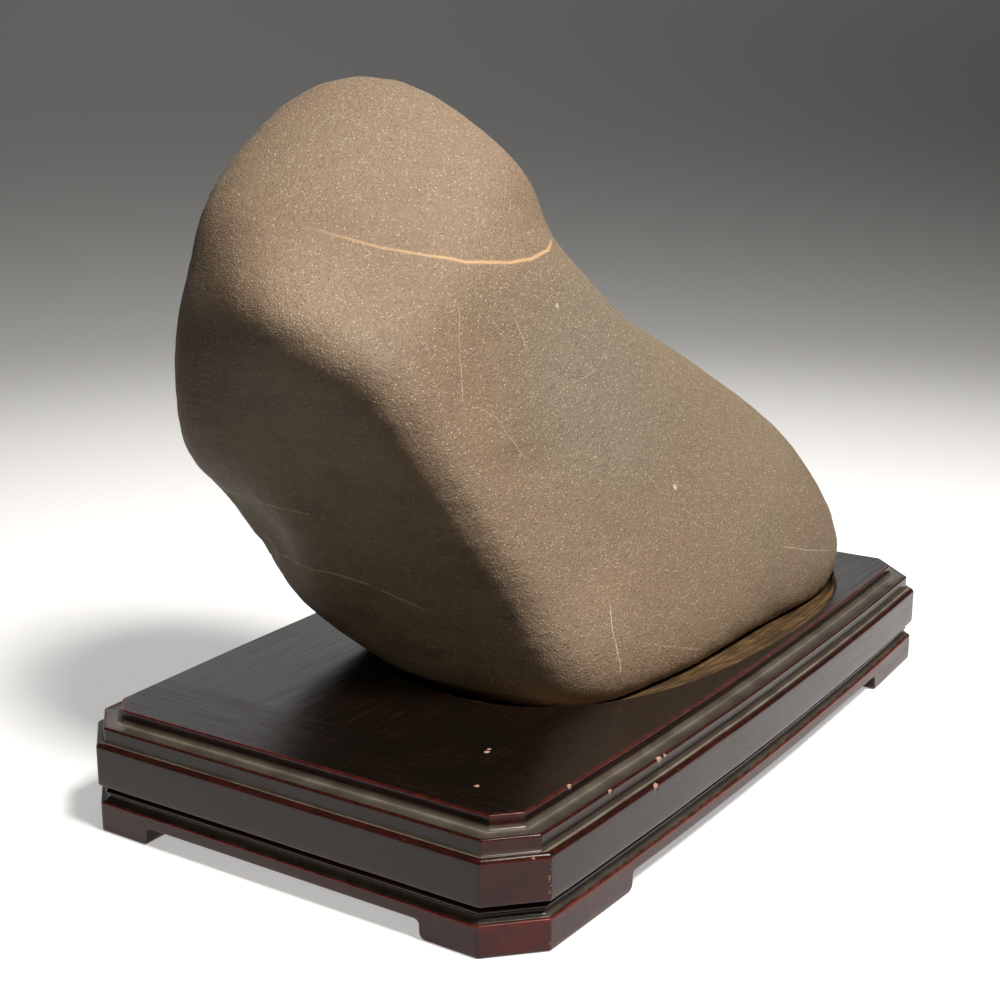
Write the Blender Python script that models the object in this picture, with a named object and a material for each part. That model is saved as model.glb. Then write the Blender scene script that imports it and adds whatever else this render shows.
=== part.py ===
"""Scholar's rock on its rosewood stand.

A water-worn stone stands in a socket carved in the top board of a low stand.
The origin is at the bottom centre of the stand. +X runs along the stand's long
side and +Z is up. The stone's undercut end faces -X and its broad face -Y.
Everything is in metres.
"""

import math

import bmesh
import bpy
import numpy as np
from mathutils import Vector

# ---- driving sizes of the stand: (length, width, corner cut) of each tier ----

BELT = (0.5000, 0.2800, 0.0230)
LEDGE = (0.4915, 0.2692, 0.0192)
PANEL = (0.4702, 0.2481, 0.0118)
FOOT_RAIL = (0.4996, 0.2790, 0.0235)

LONG_SIDE_BOW = 0.0055
LONG_SIDE_STEPS = 10

PANEL_TOP = 0.0623
LEDGE_TOP = 0.0557
BELT_TOP = 0.0480
BELT_BOTTOM = 0.0248
RAIL_TOP = 0.0162
RAIL_BOTTOM = 0.0097

SEAM = 0.0003
WAIST_INSET = 0.0055
WAIST_WIDTH = 0.026
RAIL_WIDTH = 0.024
FOOT_ARM_LONG = 0.093
FOOT_ARM_SHORT = 0.055
FOOT_END_ROUND = 0.003
FOOT_ROUND_STEPS = 3
FOOT_ARRIS = 0.0006

# ---- the socket: an egg-shaped recess with a dished wall ----

SOCKET_CENTRE = (0.048, -0.019)
SOCKET_RIM = (0.174, 0.104)
SOCKET_SQUARENESS = 2.45
SOCKET_TURN = math.radians(-3.0)
SOCKET_FLOOR = 0.0480
SOCKET_STEPS = 96
SOCKET_FIT = 0.0010
SOCKET_LEVELS = (0.0, 0.12, 0.28, 0.48, 0.72, 1.0)
SOCKET_DISH = 1.4
CUT_PAST = 0.004
STONE_SOLE_RISE = 0.0016
STONE_LIFT = 0.0003

# ---- the stone: lumps that melt together, hollows, and worn flat faces ----
# lump: centre, half-sizes, turn about Z, lean of its long axis, blend width

HEAD = ((-0.0915, 0.073, 0.316), (0.077, 0.112, 0.077), 52.5, 0, 0.060)
TRUNK = ((-0.1135, 0.005, 0.2065), (0.1305, 0.1885, 0.1165), 30, 6, 0.060)
SHOULDER = ((0.040, -0.0175, 0.1495), (0.1925, 0.074, 0.0885), -9, -21, 0.060)
BASE = ((0.018, -0.024, 0.096), (0.165, 0.101, 0.082), -2, 0, 0.060)
TAIL = ((0.137, -0.053, 0.097), (0.090, 0.069, 0.067), -14, -16, 0.060)
BELLY = ((-0.070, 0.025, 0.120), (0.0585, 0.091, 0.0585), 25, 0, 0.050)
LUMPS = (HEAD, TRUNK, SHOULDER, BASE, TAIL, BELLY)

VALLEY = ((0.093, -0.1405, 0.260), (0.1625, 0.088, 0.058), 0, -55, 0.080)
SCOOP = ((-0.187, 0.115, 0.110), (0.060, 0.060, 0.060), 0, 0, 0.030)
HOLLOWS = (VALLEY, SCOOP)

# worn face: azimuth and rise of its outward normal, a point on it, edge rounding
BROAD_FACE = (-95, 18.5, (0.040, -0.1045, 0.063), 0.065)
UNDERCUT_END = (184.5, -24.5, (-0.114, -0.019, 0.0665), 0.034)
UNDERSIDE = (151, -44.5, (-0.1115, 0.078, 0.062), 0.026)
CHEEK = (156.5, 8.5, (-0.194, 0.082, 0.251), 0.043)
BROW = (229, 51, (-0.1775, 0.0135, 0.2725), 0.024)
CROWN_LEFT = (164, 49.5, (-0.132, 0.115, 0.3375), 0.055)
CROWN_RIGHT = (-46.5, 49, (-0.0435, 0.0155, 0.351), 0.034)
TAIL_END = (-12, 6, (0.217, -0.070, 0.080), 0.030)
BACK = (90, 0, (0.060, 0.138, 0.120), 0.050)
SEAT = (0, -90, (0.0, 0.0, SOCKET_FLOOR + STONE_LIFT), 0.024)
WORN_FACES = (
    BROAD_FACE, UNDERCUT_END, UNDERSIDE, CHEEK, BROW, CROWN_LEFT, CROWN_RIGHT, TAIL_END, BACK,
    SEAT,
)

STONE_HEART = (0.0, 0.010, 0.160)
STONE_SUBDIVISIONS = 5
STONE_RELAX_ROUNDS = 8
STONE_RELAX_STEP = 0.5
CAST_REACH = 0.34
CAST_HALVINGS = 22


# ---- the stone's form, as a signed field: below zero is inside ----

def soft_max(a, b, width):
    """The larger of two fields, with the crease between them rounded."""
    near = np.maximum(width - np.abs(a - b), 0.0) / width
    return np.maximum(a, b) + near ** 3 * width / 6.0


def soft_min(a, b, width):
    return -soft_max(-a, -b, width)


def lump_field(points, centre, half_sizes, turn, lean):
    """Field of an ellipsoid turned about Z, whose own X axis then leans up."""
    a, e = math.radians(turn), math.radians(lean)
    along = np.array((math.cos(a) * math.cos(e), math.sin(a) * math.cos(e), math.sin(e)))
    across = np.array((-math.sin(a), math.cos(a), 0.0))
    axes = np.stack((along, across, np.cross(along, across)), axis=1)
    local = (points - np.array(centre)) @ axes
    sizes = np.array(half_sizes)
    scaled = np.linalg.norm(local / sizes, axis=-1)
    slope = np.linalg.norm(local / sizes ** 2, axis=-1) + 1e-9
    return scaled * (scaled - 1.0) / slope


def face_field(points, azimuth, rise, through):
    a, e = math.radians(azimuth), math.radians(rise)
    normal = np.array((math.cos(a) * math.cos(e), math.sin(a) * math.cos(e), math.sin(e)))
    return (points - np.array(through)) @ normal


def stone_field(points):
    field = None
    for *lump, blend in LUMPS:
        one = lump_field(points, *lump)
        field = one if field is None else soft_min(field, one, blend)
    for *hollow, blend in HOLLOWS:
        field = soft_max(field, -lump_field(points, *hollow), blend)
    for *face, rounding in WORN_FACES:
        field = soft_max(field, face_field(points, *face), rounding)
    return field


def field_slope(points):
    step = 0.0004
    offsets = np.eye(3) * step
    parts = [stone_field(points + o) - stone_field(points - o) for o in offsets]
    return np.stack(parts, axis=-1) / (2.0 * step)


def cast_out(origin, directions):
    """Distance from the origin to the stone's skin along each direction."""
    near = np.zeros(len(directions))
    far = np.full(len(directions), CAST_REACH)
    for _ in range(CAST_HALVINGS):
        middle = (near + far) / 2.0
        inside = stone_field(origin + directions * middle[:, None]) < 0.0
        near = np.where(inside, middle, near)
        far = np.where(inside, far, middle)
    return (near + far) / 2.0


# ---- helpers for meshes ----

def material(name, color, roughness, coat=0.0):
    mat = bpy.data.materials.new(name)
    mat.use_nodes = True
    shader = mat.node_tree.nodes["Principled BSDF"]
    shader.inputs["Base Color"].default_value = (*color, 1.0)
    shader.inputs["Roughness"].default_value = roughness
    shader.inputs["Metallic"].default_value = 0.0
    shader.inputs["Coat Weight"].default_value = coat
    return mat


def add_object(name, bm, mat):
    bmesh.ops.recalc_face_normals(bm, faces=bm.faces)
    mesh = bpy.data.meshes.new(name)
    bm.to_mesh(mesh)
    bm.free()
    if mat:
        mesh.materials.append(mat)
    obj = bpy.data.objects.new(name, mesh)
    bpy.context.scene.collection.objects.link(obj)
    return obj


def hide_helper(obj):
    obj.hide_render = True
    obj.display_type = "WIRE"


def subtract(obj, cutter):
    hide_helper(cutter)
    cut = obj.modifiers.new("cut", "BOOLEAN")
    cut.operation = "DIFFERENCE"
    cut.solver = "EXACT"
    cut.object = cutter


def tier_outline(length, width, corner):
    """Counter-clockwise outline with cut corners and bowed long sides."""
    half_x, half_y = length / 2.0, width / 2.0
    straight = half_x - corner
    steps = range(LONG_SIDE_STEPS + 1)
    xs = [straight * (1.0 - 2.0 * i / LONG_SIDE_STEPS) for i in steps]
    bow = [LONG_SIDE_BOW * (1.0 - (x / straight) ** 2) for x in xs]
    back = [(x, half_y + b) for x, b in zip(xs, bow)]
    left = [(-half_x, half_y - corner), (-half_x, corner - half_y)]
    front = [(-x, -half_y - b) for x, b in zip(xs, bow)]
    right = [(half_x, corner - half_y), (half_x, half_y - corner)]
    return back + left + front + right


def inset(tier, amount):
    """The tier's sizes after a parallel step inwards."""
    length, width, corner = tier
    corner_loss = amount * (2.0 - math.sqrt(2.0))
    return (length - 2.0 * amount, width - 2.0 * amount, corner - corner_loss)


def add_ring(bm, outline, z):
    return [bm.verts.new((x, y, z)) for x, y in outline]


def bridge(bm, lower, upper):
    count = len(lower)
    for i in range(count):
        j = (i + 1) % count
        bm.faces.new((lower[i], lower[j], upper[j], upper[i]))


def stack_rings(levels, open_frame=False):
    """A closed solid through outlines given from the bottom up.

    An open frame's last level joins back to the first, which leaves a hole.
    """
    bm = bmesh.new()
    rings = [add_ring(bm, outline, z) for outline, z in levels]
    for lower, upper in zip(rings, rings[1:]):
        bridge(bm, lower, upper)
    if open_frame:
        bridge(bm, rings[-1], rings[0])
    else:
        bm.faces.new(list(reversed(rings[0])))
        bm.faces.new(rings[-1])
    return bm


# ---- the pieces ----

def stone(mat):
    """A ball cast out onto the stone's skin, then relaxed: long edges pull harder."""
    bm = bmesh.new()
    bmesh.ops.create_icosphere(bm, subdivisions=STONE_SUBDIVISIONS, radius=1.0)
    bm.verts.index_update()
    ways = np.array([vert.co.normalized() for vert in bm.verts])
    ends = np.array([[vert.index for vert in edge.verts] for edge in bm.edges])
    heart = np.array(STONE_HEART)
    points = heart + ways * cast_out(heart, ways)[:, None]
    for _ in range(STONE_RELAX_ROUNDS):
        pull = np.linalg.norm(points[ends[:, 0]] - points[ends[:, 1]], axis=1)[:, None]
        total = np.zeros_like(points)
        weight = np.zeros((len(points), 1))
        for near, far in ((0, 1), (1, 0)):
            np.add.at(total, ends[:, near], points[ends[:, far]] * pull)
            np.add.at(weight, ends[:, near], pull)
        points += (total / weight - points) * STONE_RELAX_STEP
        slope = field_slope(points)
        steepness = np.sum(slope ** 2, axis=1)
        points -= slope * (stone_field(points) / steepness)[:, None]
    for vert, point in zip(bm.verts, points):
        vert.co = Vector(point)
    obj = add_object("stone", bm, mat)
    obj.data.shade_smooth()
    return obj


def socket_cutter():
    """The recess, ring by ring: it hugs the stone at the floor and opens to the rim."""
    centre = np.array(SOCKET_CENTRE)
    turns = np.arange(SOCKET_STEPS) * (2.0 * math.pi / SOCKET_STEPS)
    oval = np.stack((np.cos(turns), np.sin(turns)), axis=-1)
    squareness = np.sum(np.abs(oval) ** SOCKET_SQUARENESS, axis=1) ** (-1.0 / SOCKET_SQUARENESS)
    spokes = oval * np.array(SOCKET_RIM)
    spoke_lengths = np.linalg.norm(spokes, axis=1)
    rim = squareness * spoke_lengths
    headings = np.arctan2(spokes[:, 1], spokes[:, 0]) + SOCKET_TURN
    ways = np.stack((np.cos(headings), np.sin(headings), np.zeros(SOCKET_STEPS)), axis=-1)

    levels = []
    for share in SOCKET_LEVELS:
        z = SOCKET_FLOOR + (PANEL_TOP - SOCKET_FLOOR) * share
        level = max(z, SOCKET_FLOOR + STONE_LIFT + STONE_SOLE_RISE)
        skin = cast_out(np.array((*centre, level)), ways) + SOCKET_FIT
        reach = skin + np.maximum(rim - skin, 0.0) * share ** SOCKET_DISH
        levels.append(([tuple(centre + way[:2] * r) for way, r in zip(ways, reach)], z))
    rim_outline = levels[-1][0]
    levels.append((rim_outline, PANEL_TOP + CUT_PAST))
    return add_object("socket_cutter", stack_rings(levels), None)


def top_board(mat):
    """One thick board: belt, ledge moulding and raised panel, with the socket."""
    profile = (
        (BELT, 0.0035, BELT_BOTTOM),
        (BELT, 0.0010, BELT_BOTTOM + 0.0004),
        (BELT, 0.0, BELT_BOTTOM + 0.0020),
        (BELT, 0.0, BELT_TOP - 0.0022),
        (BELT, 0.0006, BELT_TOP - 0.0006),
        (BELT, 0.0020, BELT_TOP),
        (LEDGE, -0.0012, BELT_TOP + 0.0002),
        (LEDGE, 0.0, BELT_TOP + 0.0016),
        (LEDGE, 0.0, LEDGE_TOP - 0.0009),
        (LEDGE, 0.0006, LEDGE_TOP - 0.0001),
        (LEDGE, 0.0014, LEDGE_TOP),
        (LEDGE, 0.0035, LEDGE_TOP - 0.0004),
        (PANEL, -0.0040, LEDGE_TOP - 0.0003),
        (PANEL, -0.0012, LEDGE_TOP + 0.0008),
        (PANEL, -0.0002, LEDGE_TOP + 0.0033),
        (PANEL, 0.0, PANEL_TOP - 0.0006),
        (PANEL, 0.0006, PANEL_TOP),
    )
    levels = [(tier_outline(*inset(tier, step)), z) for tier, step, z in profile]
    obj = add_object("top_board", stack_rings(levels), mat)
    subtract(obj, socket_cutter())
    return obj


def waist_moulding(mat):
    """The recessed band under the belt: a bead above a small cove."""
    bottom, top = RAIL_TOP + SEAM, BELT_BOTTOM - SEAM
    profile = (
        (0.0010, bottom),
        (0.0034, bottom + 0.0006),
        (0.0046, bottom + 0.0018),
        (0.0046, bottom + 0.0026),
        (0.0032, bottom + 0.0032),
        (0.0027, bottom + 0.0042),
        (0.0034, bottom + 0.0052),
        (WAIST_INSET, bottom + 0.0057),
        (WAIST_INSET, top),
        (WAIST_INSET + WAIST_WIDTH, top),
        (WAIST_INSET + WAIST_WIDTH, bottom),
    )
    levels = [(tier_outline(*inset(FOOT_RAIL, step)), z) for step, z in profile]
    return add_object("waist_moulding", stack_rings(levels, open_frame=True), mat)


def foot_gap_cutter(name, half_gap, along_x):
    """The space under a pair of opposite rails, between their feet."""
    r = FOOT_END_ROUND
    arc = [i * math.pi / 2.0 / FOOT_ROUND_STEPS for i in range(FOOT_ROUND_STEPS + 1)]
    toe = [(half_gap + r - r * math.sin(t), r - r * math.cos(t)) for t in arc]
    cove = [(half_gap - r + r * math.cos(t), RAIL_BOTTOM - r + r * math.sin(t)) for t in arc]
    right = [(half_gap + r, -CUT_PAST)] + toe + cove
    outline = right + [(-u, z) for u, z in reversed(right)]
    across = BELT[1] if along_x else BELT[0]
    reach = across / 2.0 + LONG_SIDE_BOW + CUT_PAST
    bm = bmesh.new()
    rings = []
    for depth in (-reach, reach):
        spots = [(u, depth, z) if along_x else (depth, u, z) for u, z in outline]
        rings.append([bm.verts.new(spot) for spot in spots])
    bridge(bm, *rings)
    bm.faces.new(list(reversed(rings[0])))
    bm.faces.new(rings[1])
    return add_object(name, bm, None)


def foot_frame(mat):
    """The bottom rails with a bracket foot at each corner."""
    profile = (
        (FOOT_ARRIS + 0.0012, 0.0),
        (0.0003, FOOT_ARRIS + 0.0006),
        (0.0, RAIL_TOP - FOOT_ARRIS),
        (FOOT_ARRIS, RAIL_TOP),
        (RAIL_WIDTH, RAIL_TOP),
        (RAIL_WIDTH, 0.0),
    )
    levels = [(tier_outline(*inset(FOOT_RAIL, step)), z) for step, z in profile]
    obj = add_object("foot_frame", stack_rings(levels, open_frame=True), mat)
    half_x = FOOT_RAIL[0] / 2.0 - FOOT_ARM_LONG
    half_y = FOOT_RAIL[1] / 2.0 - FOOT_ARM_SHORT
    subtract(obj, foot_gap_cutter("long_gap_cutter", half_x, True))
    subtract(obj, foot_gap_cutter("short_gap_cutter", half_y, False))
    return obj


def main():
    for obj in list(bpy.data.objects):
        bpy.data.objects.remove(obj, do_unlink=True)
    sandstone = material("sandstone", (0.235, 0.185, 0.140), 0.62)
    lacquer = material("rosewood_lacquer", (0.030, 0.010, 0.008), 0.22, coat=0.6)
    waist_lacquer = material("waist_lacquer", (0.018, 0.008, 0.007), 0.20, coat=0.6)
    foot_lacquer = material("foot_lacquer", (0.045, 0.013, 0.010), 0.25, coat=0.6)
    stone(sandstone)
    top_board(lacquer)
    waist_moulding(waist_lacquer)
    foot_frame(foot_lacquer)


main()
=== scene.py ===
"""Finishes the scholar's rock and its lacquered stand for rendering.

The stone gets its water-worn skin, veins and cracks. The stand gets its full
mouldings, a carved socket, and lacquer with wear. Everything is in metres.
"""

import math

import bmesh
import bpy
import numpy as np
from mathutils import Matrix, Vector
from mathutils.bvhtree import BVHTree


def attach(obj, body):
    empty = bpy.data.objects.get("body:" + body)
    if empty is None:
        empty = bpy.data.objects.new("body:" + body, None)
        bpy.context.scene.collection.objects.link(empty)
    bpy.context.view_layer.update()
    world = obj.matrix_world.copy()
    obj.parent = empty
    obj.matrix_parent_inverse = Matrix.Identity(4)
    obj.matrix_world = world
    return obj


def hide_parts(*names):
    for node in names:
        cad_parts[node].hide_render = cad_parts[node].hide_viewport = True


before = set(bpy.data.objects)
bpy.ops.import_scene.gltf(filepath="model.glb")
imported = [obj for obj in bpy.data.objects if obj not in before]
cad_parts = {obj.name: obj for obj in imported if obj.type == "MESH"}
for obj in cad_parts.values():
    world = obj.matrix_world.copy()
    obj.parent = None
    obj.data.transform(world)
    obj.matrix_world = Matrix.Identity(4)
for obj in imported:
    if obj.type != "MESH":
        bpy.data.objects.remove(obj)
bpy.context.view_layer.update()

# ---- the stand's tiers: (length, width, corner cut) ----

BELT = (0.5000, 0.2800, 0.0230)
LEDGE = (0.4915, 0.2692, 0.0192)
PANEL = (0.4702, 0.2481, 0.0118)
FOOT_RAIL = (0.4996, 0.2790, 0.0235)
LONG_SIDE_BOW = 0.0055

PANEL_TOP = 0.0623
LEDGE_TOP = 0.0557
BELT_TOP = 0.0480
BELT_BOTTOM = 0.0248
RAIL_TOP = 0.0162
RAIL_BOTTOM = 0.0097
RAIL_WIDTH = 0.024
SEAM = 0.0003
UNDERSIDE_INSET = 0.034

FOOT_ARM_LONG = 0.093
FOOT_ARM_SHORT = 0.055
FOOT_END_ROUND = 0.003
WAVER_LENGTH = 0.060

# ---- how the edges are sampled ----

LONG_STEP = 0.0050
SHORT_STEP = 0.0050
CHIP_STEP = 0.0006
CHIP_REACH = 0.0045
PLAIN_RUN_LONG = 0.190
PLAIN_RUN_SHORT = 0.090
LAST_STATION = 0.0035
CORNER_EASE = 0.0008
CORNER_POINTS = 5
FACET_POINTS = 3
MITRE = math.tan(math.radians(22.5))

# ---- the socket ----

SOCKET_CENTRE = (0.048, -0.019)
SOCKET_RIM = (0.174, 0.104)
SOCKET_SQUARENESS = 2.45
SOCKET_TURN = math.radians(-3.0)
SOCKET_FLOOR = 0.0480
SOCKET_DISH = 1.4
SOCKET_FIT = 0.0010
SOCKET_LOOK_FROM = 0.34
SOCKET_LEVELS = (0.94, 0.86, 0.76, 0.65, 0.54, 0.43, 0.33, 0.24, 0.16, 0.09, 0.04, 0.0)
STONE_SOLE = 0.0499
STONE_FLOOR = 0.0483

FAR_AWAY = 9.0
MERGE_WITHIN = 2e-5
UNDERCUT_WAY = (-0.907, -0.071, -0.415)

# ---- the stone's skin: height and length of each relief, and hollows (where, how wide, how deep) ----

STONE_SWELL = (0.0016, 0.045)
STONE_RIPPLE = (0.0006, 0.011)
STONE_PITS = (0.0005, 0.016)
STONE_HOLLOWS = (
    ((-0.1261, 0.1064, 0.1227), 0.012, 0.0030),
    ((-0.1405, 0.0661, 0.1199), 0.006, 0.0008),
    ((-0.1427, 0.1163, 0.1540), 0.009, 0.0012),
)
STONE_ROUNDING = 2
STONE_FIT_ROUNDS = 4
STONE_FIT_STEP = 0.6
STONE_FIT_REACH = 0.0022
SOLE_EASE = 0.0004
LEVEL_ANGLE = math.radians(1.5)

# ---- chips in the lacquer: where, and how wide ----

CHIPS = (
    ((-0.1881, -0.1256, 0.0619), 0.0022),
    ((-0.1245, -0.1384, 0.0553), 0.0030),
    ((-0.1188, -0.1386, 0.0552), 0.0018),
    ((-0.1700, -0.1370, 0.0552), 0.0020),
    ((-0.1367, -0.1435, 0.0470), 0.0026),
    ((-0.1140, -0.1441, 0.0476), 0.0014),
    ((-0.2331, -0.1345, 0.0470), 0.0016),
    ((-0.2500, -0.0767, 0.0474), 0.0014),
)

SCUFFS = (
    ((-0.1774, -0.0729, 0.0623), 0.0019),
    ((-0.1740, -0.0719, 0.0623), 0.0013),
    ((-0.2122, -0.0906, 0.0623), 0.0016),
)
CHIP_DEPTH = 0.0005
NEAR_ARRIS = (-0.2272, -0.1399, 0.0)
END_BOARD = -0.192

# ---- marks in the stone: points along each ----

MARKS = {
    "tan_vein": (
        (-0.1557, 0.0523, 0.3044), (-0.1493, 0.0356, 0.2999), (-0.1385, 0.0156, 0.2942),
        (-0.1250, -0.0006, 0.2901), (-0.1061, -0.0133, 0.2856), (-0.0761, -0.0194, 0.2826),
        (-0.0555, -0.0203, 0.2827), (-0.0360, -0.0180, 0.2855), (-0.0220, -0.0100, 0.2890),
    ),
    "upper_seam": (
        (-0.1503, 0.1218, 0.1632), (-0.1480, 0.1112, 0.1581), (-0.1589, 0.0804, 0.1594),
        (-0.1620, 0.0562, 0.1593), (-0.1597, 0.0344, 0.1573),
    ),
    "lower_seam": (
        (-0.1300, 0.1000, 0.1215), (-0.1355, 0.0814, 0.1223), (-0.1447, 0.0503, 0.1237),
        (-0.1428, 0.0294, 0.1213), (-0.1392, 0.0121, 0.1163), (-0.1340, -0.0089, 0.1089),
    ),
    "tall_crack": (
        (-0.0683, -0.0770, 0.1097), (-0.0713, -0.0808, 0.0947), (-0.0695, -0.0837, 0.0809),
        (-0.0682, -0.0844, 0.0694),
    ),
    "high_hairline": (
        (-0.1226, -0.0197, 0.2690), (-0.1327, -0.0277, 0.2464), (-0.1405, -0.0347, 0.2236),
    ),
    "bent_hairline": (
        (-0.1371, -0.0365, 0.2193), (-0.1226, -0.0385, 0.2171), (-0.1160, -0.0431, 0.2053),
        (-0.1089, -0.0474, 0.1943), (-0.0960, -0.0542, 0.1771),
    ),
    "short_hairline": (
        (-0.0852, -0.0290, 0.2552), (-0.0833, -0.0320, 0.2465), (-0.0809, -0.0354, 0.2372),
    ),
    "valley_scratch": (
        (-0.0551, -0.0440, 0.2184), (-0.0334, -0.0446, 0.2221), (-0.0132, -0.0427, 0.2309),
    ),
    "low_scratch": (
        (-0.0507, -0.0865, 0.0825), (-0.0203, -0.0919, 0.0722), (0.0170, -0.0951, 0.0598),
    ),
    "tail_scratch": (
        (0.1099, -0.0948, 0.0984), (0.1392, -0.0989, 0.0894), (0.1743, -0.1014, 0.0805),
    ),
}


# ---- helpers for node trees and meshes ----

def put(tree, kind, sockets=None, **settings):
    """Adds a node with its settings, and feeds its inputs with values or outputs."""
    made = tree.nodes.new(kind)
    for name, value in settings.items():
        setattr(made, name, value)
    for key, value in (sockets or {}).items():
        socket = made.inputs[key]
        if isinstance(value, bpy.types.NodeSocket):
            tree.links.new(value, socket)
        else:
            socket.default_value = value
    return made


def calc(tree, operation, a, b=0.0, c=0.0):
    return put(tree, "ShaderNodeMath", {0: a, 1: b, 2: c}, operation=operation).outputs[0]


def vcalc(tree, operation, a, b=(0.0, 0.0, 0.0), output="Vector"):
    return put(tree, "ShaderNodeVectorMath", {0: a, 1: b}, operation=operation).outputs[output]


def scaled(tree, vector, amount):
    made = put(tree, "ShaderNodeVectorMath", {0: vector, "Scale": amount}, operation="SCALE")
    return made.outputs[0]


def new_tree(name, inputs):
    """An empty Geometry Nodes tree with named inputs and a Geometry output."""
    tree = bpy.data.node_groups.new(name, "GeometryNodeTree")
    tree.interface.new_socket(name="Geometry", in_out="INPUT", socket_type="NodeSocketGeometry")
    for label, kind in inputs:
        tree.interface.new_socket(name=label, in_out="INPUT", socket_type="NodeSocket" + kind)
    tree.interface.new_socket(name="Geometry", in_out="OUTPUT", socket_type="NodeSocketGeometry")
    source = tree.nodes.new("NodeGroupInput").outputs
    return tree, source


def finish_tree(tree, geometry, finish):
    real = put(tree, "GeometryNodeRealizeInstances", {0: geometry})
    painted = put(tree, "GeometryNodeSetMaterial", {"Geometry": real.outputs[0], "Material": finish})
    put(tree, "NodeGroupOutput", {"Geometry": painted.outputs[0]})


def grown(obj, tree, values):
    """The plain mesh that the tree makes from the object, whose modifier is then removed."""
    modifier = obj.modifiers.new(tree.name, "NODES")
    modifier.node_group = tree
    for item in tree.interface.items_tree:
        if item.in_out == "INPUT" and item.name in values:
            modifier[item.identifier] = values[item.name]
    bpy.context.view_layer.update()
    evaluated = obj.evaluated_get(bpy.context.evaluated_depsgraph_get())
    mesh = bpy.data.meshes.new_from_object(evaluated)
    obj.modifiers.remove(modifier)
    mesh.materials.clear()
    mesh.materials.append(values["Finish"])
    mesh.polygons.foreach_set("material_index", [0] * len(mesh.polygons))
    return mesh


def add_piece(name, mesh, node):
    """A finished piece that stands for its CAD node and rides on the root body."""
    mesh.name = name
    mesh.shade_smooth()
    obj = bpy.data.objects.new(name, mesh)
    bpy.context.scene.collection.objects.link(obj)
    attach(obj, "root")
    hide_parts(node)
    return obj


def helper_mesh(name, points, attributes):
    """A hidden helper: points with attributes on them, for a tree to read."""
    mesh = bpy.data.meshes.new(name)
    mesh.from_pydata([tuple(p) for p in points], [], [])
    for label, values in attributes.items():
        values = np.asarray(values, dtype=float)
        if values.ndim == 2:
            layer = mesh.attributes.new(label, "FLOAT_VECTOR", "POINT")
            layer.data.foreach_set("vector", values.ravel())
        else:
            layer = mesh.attributes.new(label, "FLOAT", "POINT")
            layer.data.foreach_set("value", values)
    obj = bpy.data.objects.new(name, mesh)
    bpy.context.scene.collection.objects.link(obj)
    return obj


def coordinates(mesh):
    points = np.empty(len(mesh.vertices) * 3)
    mesh.vertices.foreach_get("co", points)
    return points.reshape(-1, 3)


# ---- the run of a moulding: stations round the stand's outline ----

def side_marks(straight, step, extra):
    """Places along one side, closer together where something needs it."""
    count = int(round(2.0 * straight / step))
    marks = set(np.round(np.linspace(-straight, straight, count + 1), 6))
    for at, reach, fine in extra:
        marks.update(np.round(np.arange(at - reach, at + reach + fine / 2.0, fine), 6))
    return sorted(m for m in marks if abs(m) <= straight)


def stations(gap_ends=None):
    """The stations of one turn of the outline, anticlockwise from the front left."""
    long_half = BELT[0] / 2.0 - BELT[2] - LAST_STATION
    short_half = BELT[1] / 2.0 - BELT[2] - LAST_STATION
    listed = []
    for side, half, step in (
        ("front", long_half, LONG_STEP), ("right", short_half, SHORT_STEP),
        ("back", long_half, LONG_STEP), ("left", short_half, SHORT_STEP),
    ):
        extra = []
        for (x, y, _z), _width in CHIPS:
            if side == "front" and y < -0.12:
                extra.append((x, CHIP_REACH, CHIP_STEP))
            if side == "left" and x < -0.24 and y > -0.11:
                extra.append((-y, CHIP_REACH, CHIP_STEP))
        marks = [(m, 0.0) for m in side_marks(half, step, extra)]
        if gap_ends:
            marks = foot_marks(marks, gap_ends[0] if side in ("front", "back") else gap_ends[1])
        listed += [("side", side, mark, lift) for mark, lift in marks]
        listed += [("facet", side, share, 0.0) for share in facet_shares()]
    return listed


def facet_shares():
    """Shares of a corner facet: the eased edge, its face, and the next eased edge."""
    ease = [("a", i / (CORNER_POINTS - 1)) for i in range(CORNER_POINTS)]
    face = [("f", (i + 1) / (FACET_POINTS + 1)) for i in range(FACET_POINTS)]
    return ease + face + [("b", t) for _, t in ease]


def foot_marks(marks, end):
    """Replaces the lift of each mark: zero on a foot, the rail's height between feet."""
    r = FOOT_END_ROUND
    arc = [i * math.pi / 8.0 for i in range(5)]
    profile = [(end + r - r * math.sin(t), r - r * math.cos(t)) for t in arc]
    profile += [(end - r + r * math.cos(t) - 0.00004, RAIL_BOTTOM - r + r * math.sin(t)) for t in arc]
    near = 0.0012
    kept = []
    for m, _ in marks:
        if abs(m) > end + r + near:
            kept.append((m, 0.0))
        elif abs(m) < end - r - near:
            kept.append((m, RAIL_BOTTOM))
    kept += profile + [(-m, lift) for m, lift in profile]
    return sorted(kept)


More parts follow.
